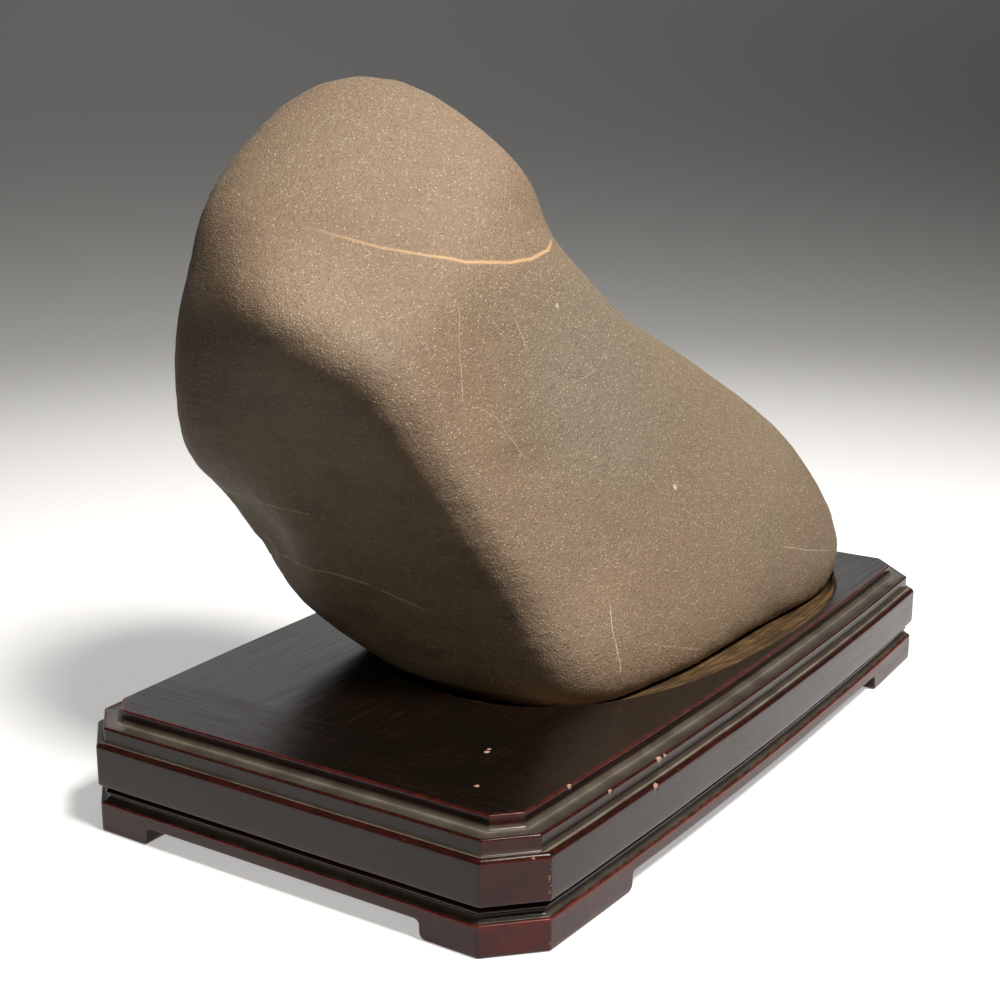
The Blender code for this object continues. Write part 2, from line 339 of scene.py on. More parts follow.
def tier_spot(tier, station, corner_ease):
    """Where a station lies on a tier's outline, and its step per metre of inset."""
    length, width, corner = tier
    half_x, half_y = length / 2.0, width / 2.0
    straight_x, straight_y = half_x - corner, half_y - corner
    kind, side, where, _lift = station
    frames = {
        "front": ((1, 0), (0, 1), straight_x, half_y),
        "right": ((0, 1), (-1, 0), straight_y, half_x),
        "back": ((-1, 0), (0, -1), straight_x, half_y),
        "left": ((0, -1), (1, 0), straight_y, half_x),
    }
    along, inward, straight, off = (np.array(v, dtype=float) for v in frames[side])
    if kind == "side":
        long_side = side in ("front", "back")
        plain = PLAIN_RUN_LONG if long_side else PLAIN_RUN_SHORT
        full = (BELT[0] if long_side else BELT[1]) / 2.0 - BELT[2]
        past = max(abs(where) - plain, 0.0) / (full - plain)
        spot = math.copysign(min(abs(where), plain) + past * (straight - plain), where)
        bow = LONG_SIDE_BOW * (1.0 - (spot / straight) ** 2) if long_side else 0.0
        point = along * spot - inward * (off + bow)
        step = inward - along * math.copysign(MITRE * past, where)
        return point, step
    following = {"front": "right", "right": "back", "back": "left", "left": "front"}[side]
    along2, inward2, straight2, off2 = (np.array(v, dtype=float) for v in frames[following])
    start = along * straight - inward * off
    finish = -along2 * straight2 - inward2 * off2
    across = (finish - start) / np.linalg.norm(finish - start)
    facet_in = np.array((-across[1], across[0]))
    part, share = where
    if part == "f":
        ease = corner_ease
        span = np.linalg.norm(finish - start) - 2.0 * ease
        point = start + across * (ease + span * share)
        return point, facet_in + across * MITRE * (1.0 - 2.0 * share)
    vertex = start if part == "a" else finish
    before, after = (along, across) if part == "a" else (across, along2)
    in1, in2 = (inward, facet_in) if part == "a" else (facet_in, inward2)
    first, last = vertex - before * corner_ease, vertex + after * corner_ease
    point = (1 - share) ** 2 * first + 2 * share * (1 - share) * vertex + share ** 2 * last
    return point, (in1 + in2) / (1.0 + in1 @ in2)


def run_of(name, tiers, gap_ends=None):
    """A helper that carries every station's place on each tier, its mitre and its lift."""
    listed = stations(gap_ends)
    attributes = {}
    for index, tier in enumerate(tiers):
        spots = [tier_spot(tier, station, CORNER_EASE) for station in listed]
        attributes[f"tier_{index}"] = [(*point, 0.0) for point, _ in spots]
        attributes["mitre"] = [(*step, 0.0) for _, step in spots]
    for index in range(len(tiers), 3):
        attributes[f"tier_{index}"] = attributes["tier_0"]
    attributes["lift"] = [station[3] for station in listed]
    return helper_mesh(name, attributes["tier_0"], attributes), len(listed)


def section_of(name, profile):
    """A helper with one point for each (tier, inset, height, dust, rub) of a profile."""
    attributes = {
        "tier": [[1.0 if k == p[0] else 0.0 for k in range(3)] for p in profile],
        "dust": [p[3] for p in profile],
        "rub": [p[4] for p in profile],
    }
    return helper_mesh(name, [(p[1], 0.0, p[2]) for p in profile], attributes)


def moulding_sweep():
    """A tree that sweeps a section round a run of stations, mitred at the corners."""
    tree, given = new_tree("moulding_sweep", (
        ("Section", "Object"), ("Stations", "Int"), ("Section points", "Int"),
        ("Full height", "Float"), ("Hand waver", "Float"), ("Waver length", "Float"),
        ("Finish", "Material"),
    ))
    columns = calc(tree, "ADD", given["Stations"], 1.0)
    grid = put(tree, "GeometryNodeMeshGrid",
               {"Vertices X": columns, "Vertices Y": given["Section points"]})
    index = put(tree, "GeometryNodeInputIndex").outputs[0]
    rows = given["Section points"]
    column = calc(tree, "FLOOR", calc(tree, "DIVIDE", calc(tree, "ADD", index, 0.5), rows))
    row = calc(tree, "SUBTRACT", index, calc(tree, "MULTIPLY", column, rows))
    station = calc(tree, "FLOORED_MODULO", column, given["Stations"])
    section = put(tree, "GeometryNodeObjectInfo", {"Object": given["Section"]}).outputs["Geometry"]

    def read(geometry, label, kind, at):
        field = put(tree, "GeometryNodeInputNamedAttribute", {"Name": label}, data_type=kind)
        sample = put(tree, "GeometryNodeSampleIndex",
                     {"Geometry": geometry, "Value": field.outputs["Attribute"], "Index": at},
                     data_type=kind, domain="POINT")
        return sample.outputs["Value"]

    point = put(tree, "GeometryNodeSampleIndex",
                {"Geometry": section, "Value": put(tree, "GeometryNodeInputPosition").outputs[0],
                 "Index": row}, data_type="FLOAT_VECTOR", domain="POINT").outputs["Value"]
    profile = put(tree, "ShaderNodeSeparateXYZ", {0: point}).outputs
    weights = read(section, "tier", "FLOAT_VECTOR", row)
    weight = put(tree, "ShaderNodeSeparateXYZ", {0: weights}).outputs
    place = scaled(tree, read(given["Geometry"], "mitre", "FLOAT_VECTOR", station), profile["X"])
    for tier in range(3):
        spot = read(given["Geometry"], f"tier_{tier}", "FLOAT_VECTOR", station)
        place = vcalc(tree, "ADD", place, scaled(tree, spot, weight[tier]))
    lift = read(given["Geometry"], "lift", "FLOAT", station)
    squeeze = calc(tree, "SUBTRACT", 1.0, calc(tree, "DIVIDE", lift, given["Full height"]))
    height = calc(tree, "ADD", lift, calc(tree, "MULTIPLY", profile["Z"], squeeze))
    rise = put(tree, "ShaderNodeCombineXYZ", {"Z": height}).outputs[0]
    place = vcalc(tree, "ADD", place, rise)
    frequency = calc(tree, "DIVIDE", 1.0, given["Waver length"])
    noise = put(tree, "ShaderNodeTexNoise", {"Vector": place, "Scale": frequency, "Detail": 1.0})
    waver = vcalc(tree, "SUBTRACT", noise.outputs["Color"], (0.5, 0.5, 0.5))
    place = vcalc(tree, "ADD", place, scaled(tree, waver, given["Hand waver"]))
    shaped = put(tree, "GeometryNodeSetPosition", {"Geometry": grid.outputs["Mesh"], "Position": place})
    geometry = shaped.outputs[0]
    for label in ("dust", "rub"):
        value = read(section, label, "FLOAT", row)
        geometry = put(tree, "GeometryNodeStoreNamedAttribute",
                       {"Geometry": geometry, "Name": label, "Value": value},
                       data_type="FLOAT", domain="POINT").outputs[0]
    finish_tree(tree, geometry, given["Finish"])
    return tree


def swept(name, sweep, tiers, profile, finish, height, waver, gap_ends=None):
    """One moulding as a plain mesh, still open at its seam, and its numbers of points."""
    run, count = run_of(name + "_run", tiers, gap_ends)
    section = section_of(name + "_section", profile)
    mesh = grown(run, sweep, {
        "Section": section, "Stations": count, "Section points": len(profile),
        "Full height": height, "Hand waver": waver, "Waver length": WAVER_LENGTH, "Finish": finish,
    })
    for helper in (run, section):
        bpy.data.objects.remove(helper, do_unlink=True)
    return mesh, count


def sealed(mesh, edit=None):
    """Closes the seam, lets edit add faces first, and turns every face outwards."""
    bm = bmesh.new()
    bm.from_mesh(mesh)
    bm.verts.ensure_lookup_table()
    if edit:
        edit(bm)
    bmesh.ops.remove_doubles(bm, verts=bm.verts, dist=1e-6)
    bmesh.ops.dissolve_degenerate(bm, edges=bm.edges, dist=1e-7)
    bmesh.ops.recalc_face_normals(bm, faces=bm.faces)
    bm.to_mesh(mesh)
    bm.free()
    return mesh


def arc(centre, radius, start, stop, count):
    """Points of a round in a section: angles in degrees, 0 outwards and 90 up."""
    angles = np.radians(np.linspace(start, stop, count))
    return [(centre[0] - radius * math.cos(a), centre[1] + radius * math.sin(a)) for a in angles]


def band(tier, points, dust=0.0, rub=0.0):
    return [(tier, inset, z, dust, rub) for inset, z in points]


# ---- finishes ----

def new_finish(name):
    finish = bpy.data.materials.new(name)
    finish.use_nodes = True
    tree = finish.node_tree
    tree.nodes.clear()
    where = put(tree, "ShaderNodeTexCoord").outputs["Object"]
    return finish, tree, where


def noise_of(tree, where, size, detail=2.0, roughness=0.5, stretch=(1.0, 1.0, 1.0)):
    """Noise whose features are about size metres across, stretched as given."""
    moved = put(tree, "ShaderNodeMapping", {"Vector": where, "Scale": stretch}).outputs[0]
    made = put(tree, "ShaderNodeTexNoise", {
        "Vector": moved, "Scale": 1.0 / size, "Detail": detail, "Roughness": roughness,
    })
    return made.outputs[0]


def between(tree, value, low, high, out_low=0.0, out_high=1.0):
    made = put(tree, "ShaderNodeMapRange", {
        "Value": value, "From Min": low, "From Max": high, "To Min": out_low, "To Max": out_high,
    }, interpolation_type="SMOOTHSTEP")
    return made.outputs[0]


def blend(tree, share, first, second):
    """Colour first where share is 0 and second where it is 1."""
    made = tree.nodes.new("ShaderNodeMix")
    made.data_type = "RGBA"
    for key, value in ((0, share), (6, first), (7, second)):
        if isinstance(value, bpy.types.NodeSocket):
            tree.links.new(value, made.inputs[key])
        else:
            made.inputs[key].default_value = value if key == 0 else (*value, 1.0)
    return made.outputs[2]


def spot(tree, where, centre, radius, softness):
    """A soft round patch: 1 within radius of the centre, fading over softness."""
    away = vcalc(tree, "DISTANCE", where, centre, output="Value")
    return between(tree, away, radius + softness, radius)


def read_attribute(tree, name, output="Fac"):
    return put(tree, "ShaderNodeAttribute", attribute_name=name).outputs[output]


def line_mark(tree, where, name, half_width, wander, wander_size, softness=0.5):
    """A thin line along a mark stored on the stone: 1 on the line, 0 off it."""
    parts = put(tree, "ShaderNodeSeparateXYZ", {0: read_attribute(tree, name, "Vector")}).outputs
    sway = calc(tree, "SUBTRACT", noise_of(tree, where, wander_size, 3.0, 0.6), 0.5)
    off = calc(tree, "ABSOLUTE", calc(tree, "MULTIPLY_ADD", sway, wander, parts["X"]))
    taper = calc(tree, "MULTIPLY", between(tree, parts["Y"], -0.02, 0.12),
                 between(tree, parts["Y"], 1.02, 0.90))
    line = between(tree, off, half_width, half_width * softness)
    close_by = between(tree, parts["Z"], 0.0085, 0.0060)
    return calc(tree, "MULTIPLY", calc(tree, "MULTIPLY", line, taper), close_by), parts["Y"]


def sandstone_finish():
    finish, tree, where = new_finish("water_worn_sandstone")

    warm, olive, mauve = (0.268, 0.184, 0.119), (0.242, 0.182, 0.118), (0.196, 0.130, 0.087)
    # The next two colours are painted light: a paler tone for painted highlights and a greyer tone for a
    # painted sheen.
    painted_highlight, painted_sheen = (0.345, 0.245, 0.164), (0.262, 0.226, 0.172)
    clouds = noise_of(tree, where, 0.110, 3.0, 0.55)
    colour = blend(tree, between(tree, clouds, 0.42, 0.66), warm, olive)
    drift = noise_of(tree, where, 0.055, 4.0, 0.6, (1.0, 1.0, 1.6))
    colour = blend(tree, between(tree, drift, 0.50, 0.74, 0.0, 0.55), colour, mauve)
    # Patches: the mauve tail end and the olive-grey patch towards the tail are the stone's own tone. The
    # greyer patch in the valley below the neck is a painted sheen. The three pale patches on the head's top,
    # the head's left end and low on the front are painted highlights.
    for centre, radius, reach, tint, strength in (
        ((0.1500, -0.1010, 0.0750), 0.020, 0.070, mauve, 0.60),
        ((-0.0250, -0.0480, 0.2150), 0.025, 0.085, painted_sheen, 0.70),
        ((0.1200, -0.0600, 0.1700), 0.040, 0.090, (0.252, 0.214, 0.146), 0.50),
        ((-0.1000, 0.0300, 0.3500), 0.030, 0.080, painted_highlight, 0.45),
        ((-0.1880, 0.0300, 0.2750), 0.012, 0.055, painted_highlight, 0.75),
        ((-0.1000, -0.0750, 0.1050), 0.020, 0.055, painted_highlight, 0.65),
    ):
        patch = spot(tree, where, centre, radius, reach)
        colour = blend(tree, calc(tree, "MULTIPLY", patch, strength), colour, tint)

    skin_way = put(tree, "ShaderNodeNewGeometry").outputs["Normal"]
    end_face = between(tree, vcalc(tree, "DOT_PRODUCT", skin_way, UNDERCUT_WAY, "Value"), 0.74, 0.92)
    bedding = noise_of(tree, where, 0.0022, 4.0, 0.60, (0.10, 0.12, 1.0))
    colour = blend(tree, calc(tree, "MULTIPLY", between(tree, bedding, 0.40, 0.60),
                              between(tree, end_face, 0.0, 1.0, 0.10, 0.42)),
                   colour, (0.330, 0.262, 0.180))
    # Painted shade: dark mottling laid only on the undercut end facet, which faces away from the key.
    dark_mottle = noise_of(tree, where, 0.026, 5.0, 0.62, (0.5, 0.5, 1.2))
    dark_mottle = calc(tree, "MULTIPLY", between(tree, dark_mottle, 0.44, 0.64, 0.0, 0.55), end_face)
    colour = blend(tree, dark_mottle, colour, (0.120, 0.082, 0.050))

    grain = noise_of(tree, where, 0.0011, 3.0, 0.70)
    colour = blend(tree, between(tree, grain, 0.30, 0.52, 0.50, 0.0), colour, (0.080, 0.058, 0.042))
    sand = put(tree, "ShaderNodeTexVoronoi", {"Vector": where, "Scale": 900.0})
    tint = put(tree, "ShaderNodeSeparateXYZ", {0: sand.outputs["Color"]}).outputs
    tone = between(tree, tint["Z"], 0.0, 1.0, 0.0, 0.34)
    colour = blend(tree, tone, colour, (0.150, 0.104, 0.070))
    pale = calc(tree, "MULTIPLY", between(tree, tint["X"], 0.74, 0.92),
                between(tree, sand.outputs["Distance"], 0.48, 0.20))
    colour = blend(tree, calc(tree, "MULTIPLY", pale, 0.75), colour, (0.660, 0.560, 0.430))
    dark = calc(tree, "MULTIPLY", between(tree, tint["Y"], 0.80, 0.94),
                between(tree, sand.outputs["Distance"], 0.46, 0.22))
    colour = blend(tree, calc(tree, "MULTIPLY", dark, 0.65), colour, (0.070, 0.054, 0.044))

    def marked(colour, name, half_width, wander, wander_size, tint, strength, broken=0.0):
        line, _along = line_mark(tree, where, name, half_width, wander, wander_size)
        if broken:
            gaps = noise_of(tree, where, 0.006, 2.0, 0.5)
            line = calc(tree, "MULTIPLY", line, between(tree, gaps, broken, broken + 0.14))
        return blend(tree, calc(tree, "MULTIPLY", line, strength), colour, tint)

    halo, along = line_mark(tree, where, "tan_vein", 0.0022, 0.0012, 0.030, 0.2)
    swell = between(tree, along, 0.0, 0.60, 0.25, 1.0)
    colour = blend(tree, calc(tree, "MULTIPLY", halo, calc(tree, "MULTIPLY", swell, 0.35)),
                   colour, (0.500, 0.330, 0.190))
    core, _ = line_mark(tree, where, "tan_vein", 0.0010, 0.0012, 0.030)
    colour = blend(tree, calc(tree, "MULTIPLY", core, swell), colour, (0.590, 0.370, 0.200))
    pale_line, ochre = (0.560, 0.470, 0.350), (0.560, 0.440, 0.200)
    for name, half_width, wander, wander_size, hue, strength, broken in (
        ("upper_seam", 0.0009, 0.0040, 0.014, ochre, 0.90, 0.30),
        ("lower_seam", 0.0009, 0.0040, 0.016, ochre, 0.90, 0.28),
        ("tall_crack", 0.0005, 0.0040, 0.006, (0.600, 0.520, 0.400), 0.85, 0.28),
        ("high_hairline", 0.0004, 0.0040, 0.010, pale_line, 0.55, 0.30),
        ("bent_hairline", 0.0004, 0.0035, 0.008, pale_line, 0.45, 0.34),
        ("short_hairline", 0.0004, 0.0020, 0.008, pale_line, 0.55, 0.0),
        ("valley_scratch", 0.0004, 0.0020, 0.012, pale_line, 0.35, 0.30),
        ("low_scratch", 0.0004, 0.0016, 0.010, pale_line, 0.40, 0.32),
        ("tail_scratch", 0.0005, 0.0016, 0.012, pale_line, 0.45, 0.30),
    ):
        colour = marked(colour, name, half_width, wander, wander_size, hue, strength, broken)

    for centre, radius, hue, strength in (
        ((0.0171, -0.0701, 0.1516), 0.0018, (0.70, 0.64, 0.54), 0.8),
        ((-0.0477, -0.0311, 0.2581), 0.0014, (0.62, 0.55, 0.44), 0.8),
        ((-0.1405, 0.0661, 0.1199), 0.0024, (0.46, 0.26, 0.20), 0.7),
        ((-0.1753, -0.0283, 0.2168), 0.0018, (0.46, 0.36, 0.26), 0.5),
        ((-0.1261, 0.1064, 0.1227), 0.0075, (0.34, 0.33, 0.13), 0.7),
        ((-0.1427, 0.1163, 0.1540), 0.0100, (0.33, 0.32, 0.14), 0.6),
    ):
        patch = spot(tree, where, centre, radius * 0.4, radius * 0.9)
        colour = blend(tree, calc(tree, "MULTIPLY", patch, strength), colour, hue)

    rough = between(tree, clouds, 0.35, 0.70, 0.60, 0.50)
    fine = calc(tree, "ADD", grain,
                calc(tree, "MULTIPLY", between(tree, sand.outputs["Distance"], 0.0, 0.6), -0.45))
    coarse = noise_of(tree, where, 0.0036, 3.0, 0.6)
    height = calc(tree, "ADD", fine, calc(tree, "MULTIPLY", coarse, 1.2))
    height = calc(tree, "ADD", height, calc(tree, "MULTIPLY", calc(tree, "MULTIPLY", bedding, end_face), 0.8))
    relief = put(tree, "ShaderNodeBump", {"Height": height, "Distance": 0.00042, "Strength": 1.0})
    shader = put(tree, "ShaderNodeBsdfPrincipled", {
        "Base Color": colour, "Roughness": rough, "Specular IOR Level": 0.35,
        "Normal": relief.outputs[0],
    })
    put(tree, "ShaderNodeOutputMaterial", {"Surface": shader.outputs[0]})
    return finish


def lacquer_finish(name, gloss, redness=0.0, with_socket=False):
    """Brushed lacquer over rosewood: black on the flat, red on the sides, dusty in the coves."""
    finish, tree, where = new_finish(name)
    parts = put(tree, "ShaderNodeSeparateXYZ", {0: where}).outputs
    run = calc(tree, "ADD", parts["X"], parts["Y"])
    skin_way = put(tree, "ShaderNodeNewGeometry").outputs["Normal"]
    facing = put(tree, "ShaderNodeSeparateXYZ", {0: skin_way}).outputs
    is_top = between(tree, facing["Z"], 0.6, 0.9)
    side_way = put(tree, "ShaderNodeCombineXYZ", {"X": run, "Y": 0.0, "Z": parts["Z"]}).outputs[0]
    side_streak = noise_of(tree, side_way, 0.0030, 4.0, 0.6, (0.045, 1.0, 1.0))
    long_streak = noise_of(tree, where, 0.0026, 4.0, 0.6, (0.035, 1.0, 1.0))
    cross_streak = noise_of(tree, where, 0.0024, 4.0, 0.6, (1.0, 0.050, 1.0))
    at_end = between(tree, parts["X"], END_BOARD + 0.004, END_BOARD)
    top_streak = put(tree, "ShaderNodeMix", {0: at_end, 2: long_streak, 3: cross_streak}).outputs[0]
    streak = put(tree, "ShaderNodeMix", {0: is_top, 2: side_streak, 3: top_streak}).outputs[0]
    mottle = noise_of(tree, where, 0.030, 4.0, 0.6)
    thin = calc(tree, "MULTIPLY", between(tree, streak, 0.44, 0.70), between(tree, mottle, 0.36, 0.66))
    flat = blend(tree, thin, (0.0042, 0.0028, 0.0018), (0.0170, 0.0046, 0.0034))
    sides = blend(tree, thin, (0.0130, 0.0060, 0.0048), (0.0340, 0.0085, 0.0066))
    on_facet = between(tree, calc(tree, "MINIMUM", calc(tree, "ABSOLUTE", facing["X"]),
                                  calc(tree, "ABSOLUTE", facing["Y"])), 0.50, 0.66)
    blotch = noise_of(tree, where, 0.014, 4.0, 0.62)
    red_share = calc(tree, "ADD", calc(tree, "MULTIPLY", on_facet, 0.46), redness)
    red_share = calc(tree, "MULTIPLY", red_share, between(tree, blotch, 0.34, 0.62, 0.35, 1.0))
    sides = blend(tree, red_share, sides, (0.1050, 0.0150, 0.0130))
    colour = blend(tree, is_top, sides, flat)

    rub = read_attribute(tree, "rub")
    dust = read_attribute(tree, "dust")
    wear_noise = noise_of(tree, where, 0.0050, 4.0, 0.65)
    worn = calc(tree, "MULTIPLY", rub, between(tree, wear_noise, 0.36, 0.66, 0.25, 0.85))
    colour = blend(tree, worn, colour, (0.200, 0.020, 0.012))
    lint = noise_of(tree, where, 0.020, 3.0, 0.55)
    dusty = calc(tree, "MULTIPLY", dust, between(tree, lint, 0.30, 0.66, 0.55, 0.90))
    colour = blend(tree, dusty, colour, (0.215, 0.185, 0.145))

    chip = None
    for centre, width in CHIPS + SCUFFS:
        one = spot(tree, where, centre, width * 0.2, width * 1.4)
        chip = one if chip is None else calc(tree, "MAXIMUM", chip, one)
    ragged = noise_of(tree, where, 0.0011, 3.0, 0.7)
    chip = between(tree, calc(tree, "ADD", chip, calc(tree, "SUBTRACT", ragged, 0.5)), 0.66, 0.78)
    level = put(tree, "ShaderNodeCombineXYZ", {"X": parts["X"], "Y": parts["Y"]}).outputs[0]
    arris = spot(tree, level, NEAR_ARRIS, 0.0005, 0.0010)
    flecks = between(tree, noise_of(tree, where, 0.0028, 3.0, 0.7), 0.56, 0.62)
    chip = calc(tree, "MAXIMUM", chip, calc(tree, "MULTIPLY", arris, flecks))
    colour = blend(tree, calc(tree, "MULTIPLY", chip, 0.85), colour, (0.480, 0.300, 0.220))

    film = noise_of(tree, where, 0.012, 3.0, 0.6)
    rough = calc(tree, "ADD", between(tree, streak, 0.35, 0.70, gloss, gloss + 0.10),
                 calc(tree, "MULTIPLY", film, 0.05))
    rough = calc(tree, "ADD", rough, calc(tree, "MULTIPLY", calc(tree, "MULTIPLY", at_end, is_top), 0.05))
    rough = calc(tree, "MAXIMUM", rough, calc(tree, "MULTIPLY", dusty, 0.75))
    rough = calc(tree, "MAXIMUM", rough, calc(tree, "MULTIPLY", chip, 0.70))
    height = calc(tree, "ADD", calc(tree, "MULTIPLY", streak, 0.5), calc(tree, "MULTIPLY", film, 1.4))

    if with_socket:
        raw = read_attribute(tree, "raw")
        rings = noise_of(tree, where, 0.0022, 4.0, 0.6, (0.06, 1.0, 0.6))
        wood = blend(tree, between(tree, rings, 0.36, 0.62), (0.052, 0.030, 0.013), (0.200, 0.120, 0.052))
        dark_mottle = noise_of(tree, where, 0.018, 3.0, 0.6)
        wood = blend(tree, between(tree, dark_mottle, 0.40, 0.64, 0.0, 0.7), wood, (0.045, 0.027, 0.014))
        colour = blend(tree, raw, colour, wood)
        rough = calc(tree, "MAXIMUM", rough, calc(tree, "MULTIPLY", raw, 0.62))
        height = calc(tree, "ADD", height, calc(tree, "MULTIPLY", calc(tree, "MULTIPLY", rings, raw), 2.0))

    relief = put(tree, "ShaderNodeBump", {"Height": height, "Distance": 0.00005, "Strength": 0.8})
    shader = put(tree, "ShaderNodeBsdfPrincipled", {
        "Base Color": colour, "Roughness": rough, "Specular IOR Level": 0.30,
        "Normal": relief.outputs[0],
    })
    put(tree, "ShaderNodeOutputMaterial", {"Surface": shader.outputs[0]})
    return finish


# ---- the stone ----

def merged_node(name):
    """A merged copy of a CAD node's loose triangles, as a hidden helper."""
    bm = bmesh.new()
    bm.from_mesh(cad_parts[name].data)
    bmesh.ops.remove_doubles(bm, verts=bm.verts, dist=MERGE_WITHIN)
    bmesh.ops.recalc_face_normals(bm, faces=bm.faces)
    level = [e for e in bm.edges if e.is_manifold and e.calc_face_angle() < LEVEL_ANGLE]
    bmesh.ops.beautify_fill(bm, faces=bm.faces, edges=level, method="ANGLE")
    mesh = bpy.data.meshes.new(name + "_blank")
    bm.to_mesh(mesh)
    bm.free()
    if "custom_normal" in mesh.attributes:
        mesh.attributes.remove(mesh.attributes["custom_normal"])
    obj = bpy.data.objects.new(name + "_blank", mesh)
    bpy.context.scene.collection.objects.link(obj)
    return obj


def worn_skin():
    """A tree that rounds the faceted blank and gives it low swells, ripples and pits."""
    tree, given = new_tree("worn_skin", (
        ("Rounding", "Int"), ("Swell height", "Float"), ("Swell length", "Float"),
        ("Ripple height", "Float"), ("Ripple length", "Float"),
        ("Pit depth", "Float"), ("Pit spacing", "Float"), ("Finish", "Material"),
    ))
    round_node = put(tree, "GeometryNodeSubdivisionSurface",
                     {"Mesh": given["Geometry"], "Level": given["Rounding"]})
    place = put(tree, "GeometryNodeInputPosition").outputs[0]
    lift = None
    for height, length, detail in (("Swell height", "Swell length", 1.0),
                                   ("Ripple height", "Ripple length", 2.0)):
        frequency = calc(tree, "DIVIDE", 1.0, given[length])
        noise = put(tree, "ShaderNodeTexNoise",
                    {"Vector": place, "Scale": frequency, "Detail": detail}).outputs[0]
        wave = calc(tree, "MULTIPLY", calc(tree, "SUBTRACT", noise, 0.5), given[height])
        lift = wave if lift is None else calc(tree, "ADD", lift, wave)
    cells = put(tree, "ShaderNodeTexVoronoi",
                {"Vector": place, "Scale": calc(tree, "DIVIDE", 1.0, given["Pit spacing"]),
                 "Randomness": 0.5})
    chosen = put(tree, "ShaderNodeSeparateXYZ", {0: cells.outputs["Color"]}).outputs["X"]
    pit = put(tree, "ShaderNodeMapRange", {"Value": cells.outputs["Distance"], "From Min": 0.24,
                                           "From Max": 0.04}, interpolation_type="SMOOTHSTEP")
    some = calc(tree, "GREATER_THAN", chosen, 0.88)
    pit = calc(tree, "MULTIPLY", calc(tree, "MULTIPLY", pit.outputs[0], some), given["Pit depth"])
    lift = calc(tree, "SUBTRACT", lift, pit)
    normal = put(tree, "GeometryNodeInputNormal").outputs[0]
    moved = put(tree, "GeometryNodeSetPosition",
                {"Geometry": round_node.outputs[0], "Offset": scaled(tree, normal, lift)})
    finish_tree(tree, moved.outputs[0], given["Finish"])
    return tree


def mark_field(points, normals, line):
    """For every point: how far it lies across a line on the skin, along it, and from it."""
    line = np.array(line)
    pieces = list(zip(line, line[1:]))
    total = sum(np.linalg.norm(b - a) for a, b in pieces)
    best = np.full(len(points), FAR_AWAY)
    across = np.full(len(points), FAR_AWAY)
    along = np.zeros(len(points))
    start = 0.0
    for k, (a, b) in enumerate(pieces):
        span = np.linalg.norm(b - a)
        way = (b - a) / span
        low = -FAR_AWAY if k == 0 else 0.0
        high = FAR_AWAY if k == len(pieces) - 1 else span
        held = np.clip((points - a) @ way, low, high)
        gap = points - a - held[:, None] * way
        distance = np.linalg.norm(gap, axis=1)
        side = np.cross(way, normals)
        side /= np.linalg.norm(side, axis=1, keepdims=True) + 1e-9
        nearer = distance < best
        best = np.where(nearer, distance, best)
        across = np.where(nearer, np.sum(side * gap, axis=1), across)
        along = np.where(nearer, (start + held) / total, along)
        start += span
    return np.stack((across, along, best), axis=1)


def press(points, normals, centre, radius, depth):
    """Sinks the points round a centre by up to depth, along their normals."""
    away = np.linalg.norm(points - np.array(centre), axis=1) / radius
    fall = np.clip(1.0 - away ** 2, 0.0, 1.0) ** 2
    return points - normals * (fall * depth)[:, None]


def build_stone(finish):
    """The stone: its blank is pushed out until it keeps its size when rounded, then worn."""
    blank = merged_node("stone")
    skin = worn_skin()
    sizes = {"Rounding": STONE_ROUNDING, "Swell length": STONE_SWELL[1],
             "Ripple length": STONE_RIPPLE[1], "Pit spacing": STONE_PITS[1], "Finish": finish}
    aim = coordinates(blank.data)
    held = aim.copy()
    bare = {"Swell height": 0.0, "Ripple height": 0.0, "Pit depth": 0.0}
    for _ in range(STONE_FIT_ROUNDS):
        rounded = grown(blank, skin, sizes | bare)
        held += (aim - coordinates(rounded)[:len(aim)]) * STONE_FIT_STEP
        held = aim + np.clip(held - aim, -STONE_FIT_REACH, STONE_FIT_REACH)
        bpy.data.meshes.remove(rounded)
        blank.data.vertices.foreach_set("co", held.ravel())
        blank.data.update()
    relief = {"Swell height": STONE_SWELL[0], "Ripple height": STONE_RIPPLE[0],
              "Pit depth": STONE_PITS[0]}
    mesh = grown(blank, skin, sizes | relief)
    bpy.data.objects.remove(blank, do_unlink=True)
    points = coordinates(mesh)
    normals = np.array([v.normal for v in mesh.vertices])
    for centre, radius, depth in STONE_HOLLOWS:
        points = press(points, normals, centre, radius, depth)
    above = (points[:, 2] - STONE_FLOOR) / SOLE_EASE
    points[:, 2] = STONE_FLOOR + np.logaddexp(0.0, above) * SOLE_EASE
    mesh.vertices.foreach_set("co", points.ravel())
    mesh.update()
    for name, line in MARKS.items():
        layer = mesh.attributes.new(name, "FLOAT_VECTOR", "POINT")
        layer.data.foreach_set("vector", mark_field(points, normals, line).ravel())
    return add_piece("worn_stone", mesh, "stone")


# ---- the stand ----

